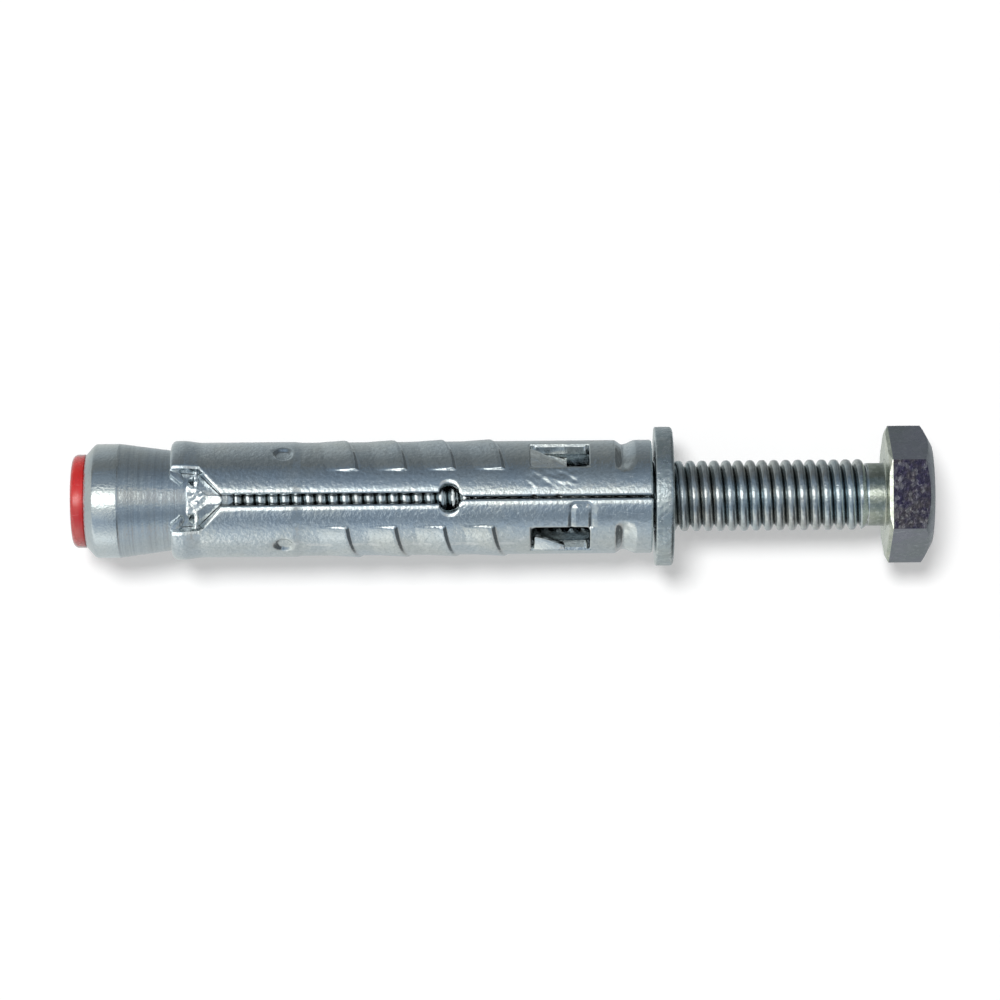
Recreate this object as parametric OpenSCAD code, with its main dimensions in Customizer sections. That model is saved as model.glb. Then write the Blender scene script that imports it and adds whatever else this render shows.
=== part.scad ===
// Heavy-duty sleeve anchor for a drilled hole in concrete, standing on its bolt head.
// Z = 0 is the outer face of the head, +Z runs along the bolt to the dust cap,
// and the open seam of the sleeve faces -Y.

/* [Bolt] */
// Outside diameter of the screw thread
thread_d = 5.9; // [4.8:0.05:7.2]
// Length of the bolt under its head
bolt_l = 60; // [50:1:80]
// Width of the hexagon head across its flats
head_af = 9.9; // [8:0.1:13]
// Height of the head
head_h = 3.85; // [3:0.05:5]
// Diameter of the flat circle on the head's outer face
head_flat_d = 8.4; // [6:0.1:9.5]
// Diameter of the flat circle on the head's bearing face
bearing_flat_d = 10.4; // [9.5:0.1:11]
// Slope of the head's chamfers
head_chamfer_angle = 30; // [15:1:40]
// Diameter of the plain neck under the head
neck_d = 5.25; // [4:0.05:5.6]
// Length of the plain neck
neck_l = 1.6; // [0.5:0.1:3]
// Chamfer at both ends of the thread
thread_chamfer = 0.45; // [0.2:0.05:0.8]

/* [Washer] */
// Outside diameter of the washer
washer_d = 11.6; // [10.5:0.1:18]
// Thickness of the washer
washer_t = 1.5; // [0.8:0.1:2.5]
// Clearance all round between the thread and the washer
washer_play = 0.25; // [0.1:0.05:0.6]
// Rounding of the washer's stamped rim
washer_round = 0.3; // [0.1:0.05:0.5]
// Broken edge of the washer's hole and of its rim towards the sleeve
washer_edge = 0.1; // [0.02:0.02:0.2]

/* [Sleeve] */
// Length of the sleeve
sleeve_l = 40; // [33:0.5:48]
// Clearance all round between the thread and the rolled sleeve
sleeve_play = 0.93; // [0.8:0.01:1.2]
// Thickness of the sheet that the sleeve is rolled from
sheet_t = 0.85; // [0.7:0.05:1.05]
// Swell of the plain stretch under the mouth, over the toothed stretch
swell = 0.07; // [0.03:0.01:0.12]
// Length over which the sleeve swells
swell_l = 0.7; // [0.6:0.1:1]
// Thickness of the coined sheet at the mouth
mouth_t = 0.75; // [0.6:0.05:1]
// Gap between the washer and the sleeve
sleeve_gap = 0.25; // [0.1:0.05:0.6]
// Rounding of the mouth's outer edge
mouth_round = 0.45; // [0.2:0.05:0.6]
// Chamfer of the sleeve's edge at the washer
heel_chamfer = 0.12; // [0.05:0.01:0.3]

/* [Seam and slot] */
// Width of the slot that lets the sleeve spread
slot_w = 0.97; // [0.8:0.01:1.2]
// Width of the closed seam between the slot and the washer
seam_w = 0.3; // [0.2:0.01:0.5]
// Width of the rounded seam edges at the outer surface
lip_w = 0.9; // [0.6:0.01:1.2]
// Depth of the rounded seam edges
lip_depth = 0.25; // [0.1:0.05:0.5]
// Distance of the end hole of the slot from the washer end
hole_z = 16.85; // [15:0.05:20]
// Diameter of the end hole
hole_d = 1.7; // [1.3:0.05:2]
// Sideways length of the end hole
hole_w = 2.5; // [2:0.05:3]
// Radius of the two dents in the seam edge
dent_r = 0.17; // [0.1:0.01:0.25]
// Heights of the two dents above the washer end
dent_zs = [7.8, 9.85]; // [5:0.05:12]
// Depth of the two dents
dent_depth = 0.35; // [0.2:0.05:0.5]

/* [Mouth] */
// Width of the mouth's cut-out around the locking lug
mouth_w = 5.2; // [4:0.1:5.6]
// Length of the mouth's cut-out with its full width
mouth_l = 2.45; // [2:0.05:3]
// Length of the taper from the cut-out to the slot
funnel_l = 1.85; // [1.5:0.05:2.5]
// Length of the two claws that are bent in against the cone
claw_l = 1.25; // [0.8:0.05:1.8]
// Thickness of the claws
claw_t = 0.45; // [0.3:0.05:0.6]
// Clearance between the claws and the cone
claw_play = 0.1; // [0.08:0.01:0.2]
// Distance from the seam's plane to the point of each claw
claw_x = 1.35; // [1.2:0.05:2]
// Length of the blunt point of each claw
claw_blunt = 0.15; // [0.05:0.05:0.4]

/* [Ramped teeth] */
// Number of teeth along each flank
tooth_count = 4; // [1:1:4]
// Distance from tooth to tooth
tooth_pitch = 4.03; // [3.4:0.05:4.5]
// Length of each ramp
tooth_l = 2.4; // [1.5:0.1:3]
// Height of each tooth's steep edge
tooth_h = 0.15; // [0.08:0.01:0.25]
// Lean of the teeth from square to the axis
tooth_lean = 14; // [0:1:20]
// Height of the lowest tooth's edge above the washer end, flank on +X
tooth_z_right = 13.45; // [12:0.05:15]
// Height of the lowest tooth's edge above the washer end, flank on -X
tooth_z_left = 12.3; // [11:0.05:14]
// Angle from the seam at which a tooth begins
tooth_start = 30; // [20:1:45]
// Angle from the seam at which a tooth ends
tooth_end = 150; // [100:1:160]

/* [Windows] */
// Length of each window along the axis
window_l = 4.9; // [4:0.1:6]
// Width of each window
window_w = 2.9; // [2:0.1:3.2]
// Corner radius of the windows
window_r = 0.4; // [0.2:0.05:0.6]
// Height of the windows' centres above the washer end
window_z = 7.65; // [6.5:0.05:9]
// Angle from the seam to the middle of each window
window_angle = 50; // [44:1:60]
// Thickness of the leaf that is bent in from each window
leaf_t = 0.45; // [0.3:0.05:0.6]
// Clearance between a leaf and the thread
leaf_play = 0.2; // [0.1:0.05:0.4]
// Width of the leaf, from its bend to its point
leaf_w = 1.9; // [1:0.1:2.2]
// Length of the leaf along its bend
leaf_l = 3.1; // [2:0.1:3.6]
// Distance from the window's upper end to the leaf
leaf_inset = 0.3; // [0.1:0.05:0.6]
// Width of the leaf's narrow end, and length of its blunt point
leaf_blunt = 0.2; // [0.1:0.05:0.5]

/* [Pressed marks] */
// Height of the pressed bead above the washer end
bead_z = 2.25; // [1.8:0.05:3]
// Width of the pressed bead
bead_w = 1.9; // [1:0.1:2.4]
// Depth of the pressed bead
bead_depth = 0.34; // [0.1:0.02:0.4]
// Angle from the seam at which the bead has its full depth
bead_start = 44; // [38:1:60]
// Length over which the bead's ends fade out
bead_fade = 2.2; // [1:0.1:2.4]
// Distance of the two round dimples from the mouth
dimple_z = 9.4; // [8.5:0.1:10]
// Angle from the seam to each dimple
dimple_angle = 53; // [45:1:70]
// Diameter of the round dimples
dimple_d = 1.7; // [1:0.1:2.2]
// Depth of the round dimples
dimple_depth = 0.25; // [0.1:0.05:0.4]
// Width of the arch pressed beside the left window
arch_w = 1.9; // [1.2:0.1:2.4]
// Angle from the seam to the top of the arch
arch_top = 6; // [5:1:12]
// Width of the arch's groove
arch_line = 0.22; // [0.1:0.02:0.4]
// Depth of the arch's groove
arch_depth = 0.1; // [0.05:0.01:0.2]

/* [Cone nut] */
// Length of the cone nut
nut_l = 12.4; // [11:0.1:15]
// Length of the nut that stands out of the sleeve
nut_out = 7.15; // [6:0.05:9]
// Length of the bolt's tip that is screwed into the nut
engage_l = 5.75; // [4.5:0.05:7]
// Wall of the nut at the cone's thin end
nut_wall = 0.46; // [0.4:0.02:0.8]
// Half angle of the cone
cone_angle = 7.75; // [6:0.25:9.3]
// Length of the polished band at the nut's thick end
band_l = 1.95; // [1:0.05:3]
// Length of the bevel at the nut's outer end
bevel_l = 0.85; // [0.4:0.05:1.2]
// Depth of the bevel at the nut's outer end
bevel_h = 0.9; // [0.4:0.05:1.1]
// Chamfer at the cone's thin end
tip_chamfer = 0.35; // [0.1:0.05:0.4]
// Radial clearance of the nut on the thread
thread_play = 0.05; // [0.02:0.01:0.1]
// Gap between the cone and the sleeve's mouth
seat_gap = 0.05; // [0.02:0.01:0.1]
// Clearance of the locking lug on each side of the slot
lug_play = 0.09; // [0.03:0.01:0.2]
// Distance of the lug's top below the sleeve's outer surface
lug_sink = 0.2; // [0.05:0.05:0.4]
// Length of the lug's straight key in the slot
lug_l = 1.4; // [1:0.1:2]
// Distance from the cone's thin end to the lug's rounded end
lug_start = 0.8; // [0.5:0.05:1.5]
// Width of the lug's fan at its wide end
lug_fan_w = 2.3; // [1.2:0.1:2.6]
// How far the fan widens inside the mouth's cut-out
lug_fan_l = 0.6; // [0.2:0.1:1]
// Length of the fan's straight end
lug_end_l = 0.3; // [0.1:0.1:0.6]

/* [Dust cap] */
// Diameter of the cap's rim
cap_d = 7.8; // [7:0.1:9]
// Thickness of the cap's rim
cap_t = 1.15; // [0.8:0.05:2]
// Rounding of the rim's outer edge
cap_round = 0.45; // [0.2:0.05:0.6]
// Length of the plug that sits in the nut's bore
plug_l = 2.2; // [1:0.1:2.6]
// Wall of the hollow plug
plug_wall = 0.65; // [0.4:0.05:1]
// Clearance of the plug in the bore
plug_play = 0.03; // [0.01:0.01:0.08]
// Length of the tapered lead-in at the plug's end
plug_lead = 0.4; // [0.2:0.1:0.8]

/* [Hidden] */
$fn = 96;
// Cutting shapes stand out of the metal by this much.
beyond = 1;
// Joined shapes reach into each other by this much.
overlap = 0.25;

thread_r = thread_d / 2;
bolt_tip_z = head_h + bolt_l;
head_corner_r = head_af / 2 / cos(30);

// The sleeve is rolled to clear the thread all round.
sleeve_ri = thread_r + sleeve_play;
sleeve_ro = sleeve_ri + sheet_t;
plain_ro = sleeve_ro + swell;

// The nut sits on the bolt's tip, the sleeve on the nut's cone and the washer under
// the sleeve. The cone grows from the wall at its thin end.
bore_r = thread_r + thread_play;
nut_z = bolt_tip_z - engage_l;
nut_top = nut_z + nut_l;
cone_top = nut_top - bevel_l - band_l;
cone_tip_r = bore_r + nut_wall;
cone_slope = tan(cone_angle);
function cone_r(z) = cone_tip_r + (z - nut_z) * cone_slope;
nut_r = cone_r(cone_top);

sleeve_top = nut_top - nut_out;
sleeve_z = sleeve_top - sleeve_l;
washer_z = sleeve_z - sleeve_gap - washer_t;
washer_hole_r = thread_r + washer_play;

// The sleeve opens parallel to the cone from the height where the two would meet.
flare_z = nut_z + (sleeve_ri - seat_gap - cone_tip_r) / cone_slope;
mouth_ri = cone_r(sleeve_top) + seat_gap;
mouth_ro = mouth_ri + mouth_t;

funnel_z = sleeve_top - mouth_l - funnel_l;
cutout_z = sleeve_top - mouth_l;
slot_z = sleeve_z + hole_z;

// How far a tooth's edge rises along the axis from the flank to the seam's plane.
lean_rise = sleeve_ro * tan(tooth_lean);
tooth_row_l = (tooth_count - 1) * tooth_pitch + tooth_l;
teeth_top = sleeve_z + max(tooth_z_right, tooth_z_left) + tooth_row_l + lean_rise;

// A leaf is bent so far in at its window's edge that its plane just clears the thread.
leaf_hinge_r = sleeve_ri + sheet_t / 2;
leaf_plane_r = thread_r + leaf_play + leaf_t / 2;
leaf_bend = acos(leaf_plane_r / leaf_hinge_r);
window_half_angle = asin(window_w / 2 / sleeve_ro);

// Points of an arc in a profile, from angle a0 to angle a1.
function arc(x, y, r, a0, a1, n = 8) =
    [for (i = [0 : n]) [x + r * cos(a0 + (a1 - a0) * i / n), y + r * sin(a0 + (a1 - a0) * i / n)]];

// A flat outline cut or laid through the wall, seen from outside the seam:
// x runs round the sleeve, y along it, and angle turns it away from the seam.
module through_wall(angle, r_in, r_out) {
    rotate([0, 0, angle])
        translate([0, -r_in, 0])
            rotate([90, 0, 0])
                linear_extrude(r_out - r_in)
                    children();
}

// A sector of the sleeve between two angles counted from the seam towards +X.
module sector(a0, a1, z0, z1, r) {
    steps = 6;
    translate([0, 0, z0])
        linear_extrude(z1 - z0)
            polygon(concat([[0, 0]], [for (i = [0 : steps])
                let (a = a0 + (a1 - a0) * i / steps)
                [r * sin(a), -r * cos(a)]]));
}

module rounded_rectangle(w, h, r) {
    square([w - 2 * r, h], center = true);
    square([w, h - 2 * r], center = true);
    for (x = [-1, 1], y = [-1, 1])
        translate([x * (w / 2 - r), y * (h / 2 - r)])
            circle(r);
}

// Hexagon head, chamfered on both faces, in one piece with its threaded shank.
module hex_bolt() {
    slope = tan(head_chamfer_angle);
    rim_r = head_corner_r + beyond;
    outer_drop = (rim_r - head_flat_d / 2) * slope;
    inner_drop = (rim_r - bearing_flat_d / 2) * slope;
    neck_z = head_h + neck_l;
    color([0.55, 0.58, 0.6]) {
        intersection() {
            cylinder(h = head_h, r = head_corner_r, $fn = 6);
            rotate_extrude()
                polygon([[0, 0], [head_flat_d / 2, 0], [rim_r, outer_drop],
                    [rim_r, head_h - inner_drop], [bearing_flat_d / 2, head_h], [0, head_h]]);
        }
        rotate_extrude()
            polygon([[0, head_h - overlap], [neck_d / 2, head_h - overlap], [neck_d / 2, neck_z],
                [thread_r, neck_z + thread_chamfer], [thread_r, bolt_tip_z - thread_chamfer],
                [thread_r - thread_chamfer, bolt_tip_z], [0, bolt_tip_z]]);
    }
}

// Stamped washer with its rolled rim towards the head.
module flat_washer() {
    r = washer_d / 2;
    color([0.6, 0.64, 0.64])
        translate([0, 0, washer_z])
            rotate_extrude()
                polygon(concat([[washer_hole_r + washer_edge, 0]],
                    arc(r - washer_round, washer_round, washer_round, -90, 0),
                    [[r, washer_t - washer_edge], [r - washer_edge, washer_t],
                    [washer_hole_r, washer_t], [washer_hole_r, washer_edge]]));
}

// Wall of the rolled sleeve, straight below and opened over the cone above.
module sleeve_wall() {
    rotate_extrude()
        polygon(concat([[sleeve_ri, sleeve_z], [sleeve_ro - heel_chamfer, sleeve_z],
            [sleeve_ro, sleeve_z + heel_chamfer], [sleeve_ro, teeth_top], [plain_ro, teeth_top + swell_l],
            [plain_ro, flare_z]],
            arc(mouth_ro - mouth_round, sleeve_top - mouth_round, mouth_round, 0, 90),
            [[mouth_ri, sleeve_top], [sleeve_ri, flare_z]]));
}

// Ramp teeth on one flank: they rise towards the washer and end in a steep edge.
// Two leaning planes cut each tooth out of a cone. The cone's axis stands a little
// off the bolt's, so that the ramp's foot meets the wall all along the lean.
module tooth_row(side, edge_z) {
    ramp = tooth_h / tooth_l;
    shift = side * ramp * lean_rise;
    box = 4 * sleeve_ro;
    for (i = [0 : tooth_count - 1])
        intersection() {
            translate([0, shift, edge_z + i * tooth_pitch - lean_rise])
                difference() {
                    cylinder(h = tooth_l + 2 * lean_rise, r1 = sleeve_ro + tooth_h + ramp * lean_rise,
                        r2 = sleeve_ro - ramp * lean_rise);
                    translate([0, 0, -beyond])
                        cylinder(h = tooth_l + 2 * (lean_rise + beyond), r = sleeve_ro - sheet_t / 2);
                }
            translate([0, 0, edge_z + i * tooth_pitch])
                rotate([side * tooth_lean, 0, 0])
                    translate([-box / 2, -box / 2, 0])
                        cube([box, box, tooth_l * cos(tooth_lean)]);
            sector(side * tooth_start, side * tooth_end, sleeve_z, sleeve_top, box);
        }
}

// Bead pressed in from outside: the sheet keeps its thickness, so it shows inside too.
// At both ends it runs straight on and so fades out of the round wall.
module bead(grow) {
    bead_r = (bead_w * bead_w / 4 + bead_depth * bead_depth) / (2 * bead_depth);
    path_r = sleeve_ro - bead_depth + bead_r;
    translate([0, 0, sleeve_z + bead_z]) {
        rotate([0, 0, bead_start - 90])
            rotate_extrude(angle = 360 - 2 * bead_start)
                translate([path_r, 0])
                    circle(bead_r + grow);
        for (side = [-1, 1])
            rotate([0, 0, side * bead_start])
                translate([side * overlap, -path_r, 0])
                    rotate([0, -side * 90, 0])
                        cylinder(h = bead_fade + overlap, r = bead_r + grow);
    }
}

// Seam from the washer to the hole, slot from the hole to the mouth, and its ends.
module seam_and_slot() {
    r_in = thread_r / 2;
    r = mouth_ro + beyond;
    through_wall(0, r_in, r)
        translate([-seam_w / 2, sleeve_z - beyond])
            square([seam_w, hole_z + beyond]);
    translate([0, 0, sleeve_z - beyond])
        linear_extrude(hole_z + beyond)
            polygon([[-seam_w / 2, lip_depth - sleeve_ro], [seam_w / 2, lip_depth - sleeve_ro],
                [lip_w / 2, -sleeve_ro], [lip_w, -r], [-lip_w, -r], [-lip_w / 2, -sleeve_ro]]);
    through_wall(0, r_in, r)
        translate([-slot_w / 2, slot_z])
            square([slot_w, sleeve_top - slot_z]);
    notch_x = (hole_w - hole_d) / 2;
    through_wall(0, r_in, r) {
        for (x = [-notch_x, notch_x])
            translate([x, slot_z])
                circle(hole_d / 2);
        translate([-notch_x, slot_z - hole_d / 2])
            square([2 * notch_x, hole_d]);
    }
    through_wall(0, r_in, r)
        polygon([[-slot_w / 2, funnel_z], [slot_w / 2, funnel_z], [mouth_w / 2, cutout_z],
            [mouth_w / 2, sleeve_top + beyond], [-mouth_w / 2, sleeve_top + beyond],
            [-mouth_w / 2, cutout_z]]);
    for (z = dent_zs)
        through_wall(0, sleeve_ro - dent_depth, r)
            translate([lip_w / 2, sleeve_z + z])
                circle(dent_r);
}

// The two pointed claws beside the cut-out, bent in until they lie on the cone.
module claws() {
    low = sleeve_top - claw_l;
    r_low = cone_r(low) + claw_play;
    r_top = cone_r(sleeve_top) + claw_play;
    root_x = mouth_w / 2 + overlap;
    intersection() {
        rotate_extrude()
            polygon([[r_low, low], [r_low + claw_t, low], [r_top + claw_t, sleeve_top],
                [r_top, sleeve_top]]);
        through_wall(0, 0, mouth_ro)
            for (side = [-1, 1])
                polygon([[side * root_x, sleeve_top + beyond], [side * root_x, low - beyond],
                    [side * claw_x, low - beyond], [side * claw_x, low + claw_blunt],
                    [side * (mouth_w / 2 - overlap), sleeve_top],
                    [side * (mouth_w / 2 - overlap), sleeve_top + beyond]]);
    }
}

// One window with rounded corners.
module window(side) {
    through_wall(side * window_angle, thread_r, sleeve_ro + beyond)
        translate([0, sleeve_z + window_z])
            rounded_rectangle(window_w, window_l, window_r);
}

// Leaf bent in from the edge that lies furthest to -X, widest at the window's upper
// end. Both windows were stamped alike in the flat sheet, so neither is mirrored.
module leaf(side) {
    hinge_angle = side * window_angle - window_half_angle;
    hinge_x = -leaf_hinge_r * sin(leaf_bend);
    root_x = hinge_x - overlap;
    top_z = sleeve_z + window_z + window_l / 2 - leaf_inset;
    through_wall(hinge_angle + leaf_bend, leaf_plane_r - leaf_t / 2, leaf_plane_r + leaf_t / 2)
        polygon([[root_x, top_z], [hinge_x + leaf_w, top_z], [hinge_x + leaf_w, top_z - leaf_blunt],
            [hinge_x + leaf_blunt, top_z - leaf_l], [root_x, top_z - leaf_l]]);
}

// Arch pressed beside the seam as a fine line, with both feet on the left window.
module arch() {
    foot_angle = window_angle - window_half_angle;
    middle = (arch_top + foot_angle) / 2;
    h = sleeve_ro * sin(foot_angle - middle);
    w = arch_w / 2;
    floor_r = sleeve_ro * cos(foot_angle - middle) - arch_depth / 2;
    through_wall(-middle, floor_r, sleeve_ro + beyond)
        translate([0, sleeve_z + window_z - window_l / 2 + w - arch_line])
            polygon([[-h, -w], [h, -w], [h, w], [-h, w], [-h, w - arch_line],
                [h - arch_line, w - arch_line], [h - arch_line, -w + arch_line],
                [-h, -w + arch_line]]);
}

module dimple(side) {
    ball_r = (dimple_d * dimple_d / 4 + dimple_depth * dimple_depth) / (2 * dimple_depth);
    rotate([0, 0, side * dimple_angle])
        translate([0, dimple_depth - ball_r - plain_ro, sleeve_top - dimple_z])
            sphere(ball_r);
}

// Sleeve stamped from sheet and rolled, with teeth, slot, windows and leaves.
module expansion_sleeve() {
    color([0.62, 0.66, 0.68]) {
        difference() {
            union() {
                sleeve_wall();
                tooth_row(1, sleeve_z + tooth_z_right);
                tooth_row(-1, sleeve_z + tooth_z_left);
                intersection() {
                    bead(sheet_t);
                    translate([0, 0, sleeve_z])
                        cylinder(h = 2 * bead_z, r = sleeve_ro - overlap);
                }
            }
            bead(0);
            seam_and_slot();
            window(1);
            window(-1);
            dimple(1);
            dimple(-1);
            arch();
        }
        claws();
        intersection() {
            union() {
                leaf(1);
                leaf(-1);
            }
            translate([0, 0, sleeve_z])
                cylinder(h = sleeve_l, r = sleeve_ro - overlap);
        }
    }
}

// Turned nut with its cone, and the fan-shaped lug that locks it in the slot.
module cone_nut() {
    key_w = slot_w - 2 * lug_play;
    key_z = nut_z + lug_start;
    fan_z = key_z + lug_l;
    wide_z = cutout_z + lug_fan_l;
    end_z = wide_z + lug_end_l;
    color([0.6, 0.63, 0.66])
        difference() {
            union() {
                rotate_extrude()
                    polygon([[0, nut_z], [cone_tip_r - tip_chamfer, nut_z],
                        [cone_r(nut_z + tip_chamfer), nut_z + tip_chamfer], [nut_r, cone_top],
                        [nut_r, nut_top - bevel_l], [nut_r - bevel_h, nut_top], [0, nut_top]]);
                through_wall(0, thread_r, plain_ro - lug_sink) {
                    translate([0, key_z + key_w / 2])
                        circle(key_w / 2);
                    polygon([[-key_w / 2, key_z + key_w / 2], [key_w / 2, key_z + key_w / 2],
                        [key_w / 2, fan_z], [lug_fan_w / 2, wide_z], [lug_fan_w / 2, end_z],
                        [-lug_fan_w / 2, end_z], [-lug_fan_w / 2, wide_z], [-key_w / 2, fan_z]]);
                }
            }
            translate([0, 0, nut_z - beyond])
                cylinder(h = nut_l + 2 * beyond, r = bore_r);
        }
}

// Plastic dust cap with a hollow plug pushed into the nut's bore.
module end_cap() {
    r = cap_d / 2;
    plug_r = bore_r - plug_play;
    color([0.82, 0.12, 0.12])
        rotate_extrude()
            polygon(concat([[0, nut_top], [plug_r - plug_wall, nut_top],
                [plug_r - plug_wall, nut_top - plug_l], [plug_r - plug_lead / 2, nut_top - plug_l],
                [plug_r, nut_top - plug_l + plug_lead], [plug_r, nut_top], [r, nut_top]],
                arc(r - cap_round, nut_top + cap_t - cap_round, cap_round, 0, 90),
                [[0, nut_top + cap_t]]));
}

hex_bolt();
flat_washer();
expansion_sleeve();
cone_nut();
end_cap();
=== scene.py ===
# %% [markdown]
# # A steel sleeve anchor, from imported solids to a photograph
# The anchor stands on its bolt head at the origin, its axis is +Z, and the slot of its
# sleeve faces -Y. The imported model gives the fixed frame: where each piece sits and what
# moves with what. Everything below is built in millimetres and scaled to metres last,
# because a mesh for a part this small is easier to read in millimetres.

# %% Load the frame
import math
import random

import bmesh
import bpy
from mathutils import Matrix, Vector, noise


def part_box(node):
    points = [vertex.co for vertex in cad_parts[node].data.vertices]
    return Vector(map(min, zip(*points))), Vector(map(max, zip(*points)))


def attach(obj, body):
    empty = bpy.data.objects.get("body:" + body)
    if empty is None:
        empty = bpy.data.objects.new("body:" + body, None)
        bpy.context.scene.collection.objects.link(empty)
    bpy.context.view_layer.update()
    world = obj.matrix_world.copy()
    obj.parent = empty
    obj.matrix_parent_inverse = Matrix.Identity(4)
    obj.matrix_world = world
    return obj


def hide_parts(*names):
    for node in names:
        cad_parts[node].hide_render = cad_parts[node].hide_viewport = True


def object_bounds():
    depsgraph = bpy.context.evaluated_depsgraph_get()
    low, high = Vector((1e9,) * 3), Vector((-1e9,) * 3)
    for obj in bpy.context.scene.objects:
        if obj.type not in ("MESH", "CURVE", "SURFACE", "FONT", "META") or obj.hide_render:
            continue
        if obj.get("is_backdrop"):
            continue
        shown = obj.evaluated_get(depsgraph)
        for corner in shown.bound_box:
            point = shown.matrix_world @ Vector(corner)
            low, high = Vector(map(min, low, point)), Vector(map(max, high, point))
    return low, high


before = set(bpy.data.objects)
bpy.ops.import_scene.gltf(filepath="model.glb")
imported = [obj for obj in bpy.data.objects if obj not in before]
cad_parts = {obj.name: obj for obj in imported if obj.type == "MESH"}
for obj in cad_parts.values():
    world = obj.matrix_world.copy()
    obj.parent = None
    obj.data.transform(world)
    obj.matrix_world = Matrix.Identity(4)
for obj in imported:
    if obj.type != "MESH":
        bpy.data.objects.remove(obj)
cad_low, cad_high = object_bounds()
MM = 0.001
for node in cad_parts:
    low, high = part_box(node)
    print(node, "Z", round(low.z / MM, 2), "to", round(high.z / MM, 2))

# %% [markdown]
# ## The camera
# The photograph was taken from straight above an anchor lying on a white table, cap to the
# left. The model stands upright, so the camera looks along +Y and is rolled until +Z points
# to the picture's left and +X to its top. Its height is half-way up the anchor. About twelve
# pixels of the picture are one millimetre at the anchor's axis, which sets the lens for the
# distance, and half a degree more roll matches how the anchor lay.

# %% Camera
scene = bpy.context.scene
DISTANCE = 350 * MM
SENSOR = 36
PIXELS_ACROSS = 1000
PIXELS_PER_MM = 11.96
AXIS_TILT = math.radians(0.5)
SIDEWAYS = -0.2 * MM
HALF_WAY_UP = 36.0 * MM
camera_data = bpy.data.cameras.new("camera")
camera_data.sensor_width = SENSOR
camera_data.lens = SENSOR * DISTANCE / (PIXELS_ACROSS / PIXELS_PER_MM * MM)
camera = bpy.data.objects.new("camera", camera_data)
scene.collection.objects.link(camera)
picture_right = Vector((-math.sin(AXIS_TILT), 0, -math.cos(AXIS_TILT)))
picture_up = Vector((math.cos(AXIS_TILT), 0, -math.sin(AXIS_TILT)))
toward_camera = Vector((0, -1, 0))
turn = Matrix((picture_right, picture_up, toward_camera)).transposed().to_4x4()
camera.matrix_world = Matrix.Translation((SIDEWAYS, -DISTANCE, HALF_WAY_UP)) @ turn
camera_data.clip_start = 0.01
scene.camera = camera
print("lens", round(camera_data.lens, 1), "mm")

# %% [markdown]
# ## Helpers for meshes
# A profile is a short chain of edges in the XZ plane. The spin operator turns it round the
# Z axis, as a lathe or a rolling die does, so every round piece starts as its own section.

# %% Mesh helpers
def chain(bm, points):
    """Edges that join the given (radius, z) points of a section."""
    verts = [bm.verts.new((r, 0, z)) for r, z in points]
    return verts + [bm.edges.new(pair) for pair in zip(verts, verts[1:])]


def turned(bm, points, steps=128):
    """Spins a section once round the Z axis and closes it."""
    bmesh.ops.spin(bm, geom=chain(bm, points), cent=(0, 0, 0), axis=(0, 0, 1), dvec=(0, 0, 0),
                   angle=math.tau, steps=steps, use_merge=True)
    bmesh.ops.remove_doubles(bm, verts=bm.verts, dist=1e-4)


def arc(x, z, r, start, end, steps=6):
    """Points of a rounding in a section, between two angles in degrees."""
    angles = [math.radians(start + (end - start) * i / steps) for i in range(steps + 1)]
    return [(x + r * math.cos(a), z + r * math.sin(a)) for a in angles]


def smooth(t):
    """Eases from 0 to 1."""
    t = min(1.0, max(0.0, t))
    return t * t * (3 - 2 * t)


def soften(bm, width, degrees=30, segments=2):
    """Bevels every edge sharper than the given angle."""
    limit = math.radians(degrees)
    sharp = [e for e in bm.edges if len(e.link_faces) == 2 and e.calc_face_angle(0) > limit]
    bmesh.ops.bevel(bm, geom=sharp, offset=width, offset_type="OFFSET", affect="EDGES",
                    segments=segments, profile=0.5, material=-1, clamp_overlap=True)


def everything(bm):
    """All of a mesh, as the operators that cut and copy want it."""
    return bm.verts[:] + bm.edges[:] + bm.faces[:]


def only_verts(geom):
    """The vertices among what an operator made."""
    return [g for g in geom if isinstance(g, bmesh.types.BMVert)]


def cut_off(bm, point, facing):
    """Cuts a mesh with a plane, takes away the side it faces, and fills the cut."""
    cut = bmesh.ops.bisect_plane(bm, geom=everything(bm), plane_co=point, plane_no=facing, clear_outer=True)
    rim = [g for g in cut["geom_cut"] if isinstance(g, bmesh.types.BMEdge)]
    bmesh.ops.holes_fill(bm, edges=rim, sides=0)


def on_tube(a, r, z):
    """The point at an angle from the seam in degrees, a radius and a height."""
    return r * math.sin(math.radians(a)), -r * math.cos(math.radians(a)), z


def piece(name, bm, body, smooth_below=32, flat_above=None):
    """Makes an object of a mesh in millimetres, and lets it move with a body.

    Edges bent by more than smooth_below degrees look sharp, and faces larger than
    flat_above square millimetres are shaded flat.
    """
    bmesh.ops.recalc_face_normals(bm, faces=bm.faces)
    bmesh.ops.scale(bm, vec=(MM, MM, MM), verts=bm.verts)
    mesh = bpy.data.meshes.new(name)
    bm.to_mesh(mesh)
    bm.free()
    mesh.shade_smooth()
    mesh.set_sharp_from_angle(angle=math.radians(smooth_below))
    for face in mesh.polygons:
        if flat_above and face.area > flat_above * MM * MM:
            face.use_smooth = False
    made = bpy.data.objects.new(name, mesh)
    scene.collection.objects.link(made)
    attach(made, body)
    print(name, len(mesh.polygons), "faces")
    return made


# %% [markdown]
# ## The bolt's head
# A hexagon bolt's head is pressed from round wire, and its corners are turned away by a
# 30 degree chamfer, which leaves the curved line on each flat. The mesh repeats this: a
# round blank with both chamfers is spun, then six planes cut the flats. A bevelled six-sided
# prism would be quicker, but its chamfer would lack the curve. The outer chamfer is the deep
# one, and the bearing side has a shallow one. Pressing also draws the flats in a little at
# the bearing side, so a second plane per side leans over by nine degrees there.

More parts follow.
